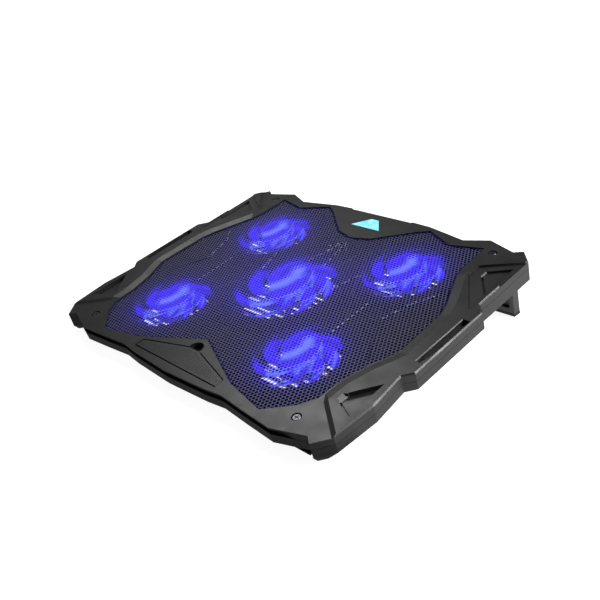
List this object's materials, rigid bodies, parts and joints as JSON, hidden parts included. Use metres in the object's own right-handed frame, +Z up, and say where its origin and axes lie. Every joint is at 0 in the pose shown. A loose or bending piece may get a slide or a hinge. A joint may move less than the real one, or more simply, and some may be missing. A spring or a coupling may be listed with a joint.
{
  "type": "laptop cooling pad",
  "caption": "Laptop cooling pad: a mesh-topped black plate on folding legs, with lit blue fans beneath the mesh, a flip-up stopper and a lit status lens.",
  "frame": {"origin": "on the desk, under the middle of the pad's bounding box, with the legs unfolded", "axes": "+X to the user's right along the width, +Y to the back, +Z up from the desk; the plate leans back about X"},
  "size_m": [0.4, 0.2999, 0.0588],
  "materials": {
    "black_plastic": "fine-grained satin black moulding",
    "dark_plastic": "dull black moulding",
    "painted_mesh": "black powder coat on perforated sheet",
    "blue_fan_plastic": "translucent blue, lit from within",
    "cyan_lens": "frosted cyan, lit from below",
    "steel": "plain bright steel",
    "rubber_feet": "matt black rubber",
    "circuit_board": "green solder mask",
    "stator_winding": "enamelled copper windings",
    "cable_sleeve": "black sleeve"
  },
  "bodies": {
    "case": {"top_frame": "black_plastic", "port_bezel": "black_plastic", "bottom_shell": "dark_plastic", "usb_tongue_left": "dark_plastic", "usb_tongue_right": "dark_plastic", "switch_housing": "dark_plastic", "fan_frame_front_left": "dark_plastic", "fan_frame_front_right": "dark_plastic", "fan_frame_rear_left": "dark_plastic", "fan_frame_rear_right": "dark_plastic", "fan_frame_center": "dark_plastic", "mesh_panel": "painted_mesh", "leg_pin_left": "steel", "leg_pin_right": "steel", "stopper_pin": "steel", "usb_socket_left": "steel", "usb_socket_right": "steel", "top_screw_front_left": "steel", "top_screw_front_right": "steel", "top_screw_rear_left": "steel", "top_screw_rear_right": "steel", "fan_stator_front_left": "stator_winding", "fan_stator_front_right": "stator_winding", "fan_stator_rear_left": "stator_winding", "fan_stator_rear_right": "stator_winding", "fan_stator_center": "stator_winding", "fan_led_board_front_left": "circuit_board", "fan_led_board_front_right": "circuit_board", "fan_led_board_rear_left": "circuit_board", "fan_led_board_rear_right": "circuit_board", "fan_led_board_center": "circuit_board", "control_board": "circuit_board", "status_light_board": "circuit_board", "fan_cable_front_left": "cable_sleeve", "fan_cable_front_right": "cable_sleeve", "fan_cable_rear_left": "cable_sleeve", "fan_cable_rear_right": "cable_sleeve", "fan_cable_center": "cable_sleeve", "front_foot_left": "rubber_feet", "front_foot_right": "rubber_feet", "rear_foot_left": "rubber_feet", "rear_foot_right": "rubber_feet", "status_lens": "cyan_lens"},
    "leg_left": {"leg_left": "black_plastic", "leg_pad_left": "rubber_feet"},
    "leg_right": {"leg_right": "black_plastic", "leg_pad_right": "rubber_feet"},
    "stopper": {"stopper_flap": "black_plastic"},
    "power_rocker": {"power_rocker": "black_plastic"},
    "rotor_front_left": {"fan_rotor_front_left": "blue_fan_plastic", "fan_shaft_front_left": "steel"},
    "rotor_front_right": {"fan_rotor_front_right": "blue_fan_plastic", "fan_shaft_front_right": "steel"},
    "rotor_rear_left": {"fan_rotor_rear_left": "blue_fan_plastic", "fan_shaft_rear_left": "steel"},
    "rotor_rear_right": {"fan_rotor_rear_right": "blue_fan_plastic", "fan_shaft_rear_right": "steel"},
    "rotor_center": {"fan_rotor_center": "blue_fan_plastic", "fan_shaft_center": "steel"}
  },
  "joints": [
    {"name": "fan_spin_front_left", "type": "hinge", "parent": "case", "child": "rotor_front_left", "pos_m": [-0.093, -0.07222, 0.02363], "axis": [0, -0.1262, 0.992], "continuous": true},
    {"name": "fan_spin_front_right", "type": "hinge", "parent": "case", "child": "rotor_front_right", "pos_m": [0.093, -0.07222, 0.02363], "axis": [0, -0.1262, 0.992], "continuous": true},
    {"name": "fan_spin_rear_left", "type": "hinge", "parent": "case", "child": "rotor_rear_left", "pos_m": [-0.093, 0.07162, 0.04193], "axis": [0, -0.1262, 0.992], "continuous": true},
    {"name": "fan_spin_rear_right", "type": "hinge", "parent": "case", "child": "rotor_rear_right", "pos_m": [0.093, 0.07162, 0.04193], "axis": [0, -0.1262, 0.992], "continuous": true},
    {"name": "fan_spin_center", "type": "hinge", "parent": "case", "child": "rotor_center", "pos_m": [0, 0.00168, 0.03303], "axis": [0, -0.1262, 0.992], "continuous": true},
    {"name": "leg_fold_left", "type": "hinge", "parent": "case", "child": "leg_left", "pos_m": [-0.16, 0.1213, 0.03968], "axis": [-1, 0, 0], "range_deg": [0, 90]},
    {"name": "leg_fold_right", "type": "hinge", "parent": "case", "child": "leg_right", "pos_m": [0.16, 0.1213, 0.03968], "axis": [-1, 0, 0], "range_deg": [0, 90]},
    {"name": "stopper_flip", "type": "hinge", "parent": "case", "child": "stopper", "pos_m": [0, -0.13788, 0.02072], "axis": [1, 0, 0], "range_deg": [0, 95]},
    {"name": "power_rock", "type": "hinge", "parent": "case", "child": "power_rocker", "pos_m": [0, 0.14436, 0.04624], "axis": [-1, 0, 0], "range_deg": [0, 16]}
  ]
}
